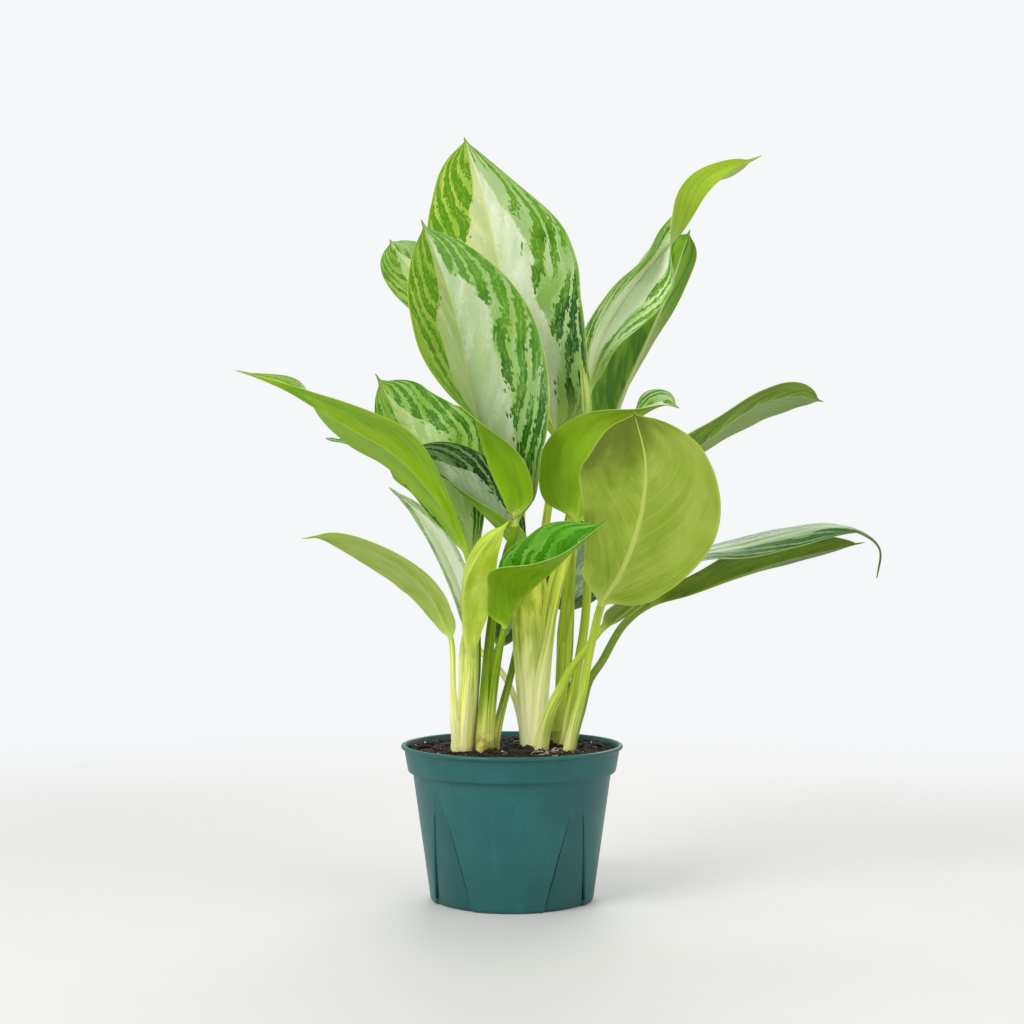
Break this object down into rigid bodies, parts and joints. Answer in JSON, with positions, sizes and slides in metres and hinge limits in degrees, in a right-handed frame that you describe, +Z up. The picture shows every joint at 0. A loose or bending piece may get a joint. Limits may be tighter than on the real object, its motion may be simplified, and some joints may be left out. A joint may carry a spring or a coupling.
{
  "type": "potted chinese evergreen",
  "caption": "Chinese evergreen with long silver and green leaves on sheathed stems, rooted in soil in a tapered nursery pot with a rolled lip and recessed panels.",
  "frame": {"origin": "middle of the pot's foot, on the surface it stands on", "axes": "+Z up along the pot's axis, the side that the picture shows faces -Y, +X to its right"},
  "size_m": [0.4342, 0.2868, 0.5312],
  "materials": {
    "pot_plastic": "satin teal-green plastic",
    "soil": "loose dark peat and bark",
    "stem": "satin pale green sheath",
    "leaf": "satin variegated leaf"
  },
  "bodies": {
    "root": {"pot": "pot_plastic", "soil": "soil", "stem_left": "stem", "stem_centre_left": "stem", "stem_centre_fan": "stem", "stem_right_cane": "stem", "leaf_back_tall": "leaf", "leaf_front_tall": "leaf", "leaf_spear": "leaf", "leaf_right_high_twist": "leaf", "leaf_right_high_rear": "leaf", "leaf_centre_arched": "leaf", "leaf_round_front": "leaf", "leaf_right_mid": "leaf", "leaf_right_low_droop": "leaf", "leaf_right_low": "leaf", "leaf_small_front": "leaf", "leaf_lime_front": "leaf", "leaf_left_low": "leaf", "leaf_left_long": "leaf", "leaf_left_mid": "leaf", "leaf_left_dark": "leaf", "leaf_left_pale": "leaf", "leaf_top_left_peek": "leaf", "leaf_back_low": "leaf", "leaf_back_left": "leaf", "leaf_back_low_left": "leaf"}
  },
  "joints": []
}
